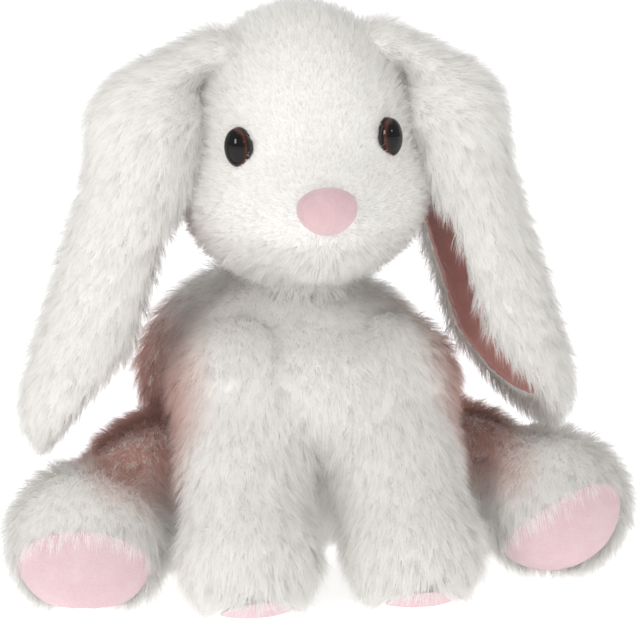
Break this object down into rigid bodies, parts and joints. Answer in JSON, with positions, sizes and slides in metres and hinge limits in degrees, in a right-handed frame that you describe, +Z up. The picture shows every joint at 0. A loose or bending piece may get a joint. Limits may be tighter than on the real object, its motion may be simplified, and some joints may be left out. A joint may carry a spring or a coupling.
{
  "type": "stuffed bunny rabbit",
  "caption": "Sitting lop-eared plush rabbit with long white fur, hanging pink-lined ears, pink sole and paw pads, a suede nose and glossy brown eyes, jointed at its seams.",
  "frame": {"origin": "middle of the flat seat under the torso, on the surface that the toy sits on", "axes": "+Z up, the rabbit faces -Y, and +X is its own left side"},
  "size_m": [0.327, 0.264, 0.2959],
  "materials": {
    "white_plush": "long dense pile",
    "stuffing": "loose fibre",
    "pink_velour": "short nap",
    "nose_suede": "suede",
    "eye_brown": "glossy",
    "eye_black": "glossy",
    "washer_white": "matte"
  },
  "bodies": {
    "torso": {"torso_cover": "white_plush", "torso_stuffing": "stuffing"},
    "neck": {"neck_cover": "white_plush", "neck_stuffing": "stuffing"},
    "head": {"head_cover": "white_plush", "head_stuffing": "stuffing", "nose": "nose_suede", "eye_dome_left": "eye_brown", "eye_pupil_left": "eye_black", "eye_washer_left": "washer_white", "eye_dome_right": "eye_brown", "eye_pupil_right": "eye_black", "eye_washer_right": "washer_white"},
    "tail": {"tail_cover": "white_plush", "tail_stuffing": "stuffing"},
    "ear_left": {"ear_fur_left": "white_plush", "ear_lining_left": "pink_velour"},
    "foreleg_left": {"foreleg_cover_left": "white_plush", "foreleg_stuffing_left": "stuffing", "paw_pad_left": "pink_velour"},
    "hind_leg_left": {"hind_leg_cover_left": "white_plush", "hind_leg_stuffing_left": "stuffing", "sole_pad_left": "pink_velour"},
    "ear_right": {"ear_fur_right": "white_plush", "ear_lining_right": "pink_velour"},
    "foreleg_right": {"foreleg_cover_right": "white_plush", "foreleg_stuffing_right": "stuffing", "paw_pad_right": "pink_velour"},
    "hind_leg_right": {"hind_leg_cover_right": "white_plush", "hind_leg_stuffing_right": "stuffing", "sole_pad_right": "pink_velour"}
  },
  "joints": [
    {"name": "neck_turn", "type": "hinge", "parent": "torso", "child": "neck", "pos_m": [0, -0.05, 0.156], "axis": [0, 0, 1], "range_deg": [-20, 20], "stiffness_Nm_per_rad": 0.15},
    {"name": "head_nod", "type": "hinge", "parent": "neck", "child": "head", "pos_m": [0, -0.05, 0.156], "axis": [-0.9973, 0.0523, -0.0523], "range_deg": [0, 10], "stiffness_Nm_per_rad": 0.4},
    {"name": "ear_lift_left", "type": "hinge", "parent": "head", "child": "ear_left", "pos_m": [0.031, -0.06364, 0.27782], "axis": [0, -1, 0], "range_deg": [0, 40]},
    {"name": "ear_lift_right", "type": "hinge", "parent": "head", "child": "ear_right", "pos_m": [-0.0448, -0.05967, 0.27385], "axis": [0, 1, 0], "range_deg": [0, 40]},
    {"name": "foreleg_swing_left", "type": "hinge", "parent": "torso", "child": "foreleg_left", "pos_m": [0.042, -0.08, 0.101], "axis": [-1, 0, 0], "range_deg": [0, 50]},
    {"name": "foreleg_swing_right", "type": "hinge", "parent": "torso", "child": "foreleg_right", "pos_m": [-0.042, -0.08, 0.101], "axis": [-1, 0, 0], "range_deg": [0, 50]},
    {"name": "hind_leg_spread_left", "type": "hinge", "parent": "torso", "child": "hind_leg_left", "pos_m": [0.054, -0.004, 0.046], "axis": [0, 0, 1], "range_deg": [0, 15], "stiffness_Nm_per_rad": 0.2},
    {"name": "hind_leg_spread_right", "type": "hinge", "parent": "torso", "child": "hind_leg_right", "pos_m": [-0.054, -0.004, 0.046], "axis": [0, 0, -1], "range_deg": [0, 15], "stiffness_Nm_per_rad": 0.2},
    {"name": "tail_wag", "type": "hinge", "parent": "torso", "child": "tail", "pos_m": [0, 0.066, 0.036], "axis": [0, 0, 1], "range_deg": [-8, 8], "stiffness_Nm_per_rad": 0.02}
  ]
}
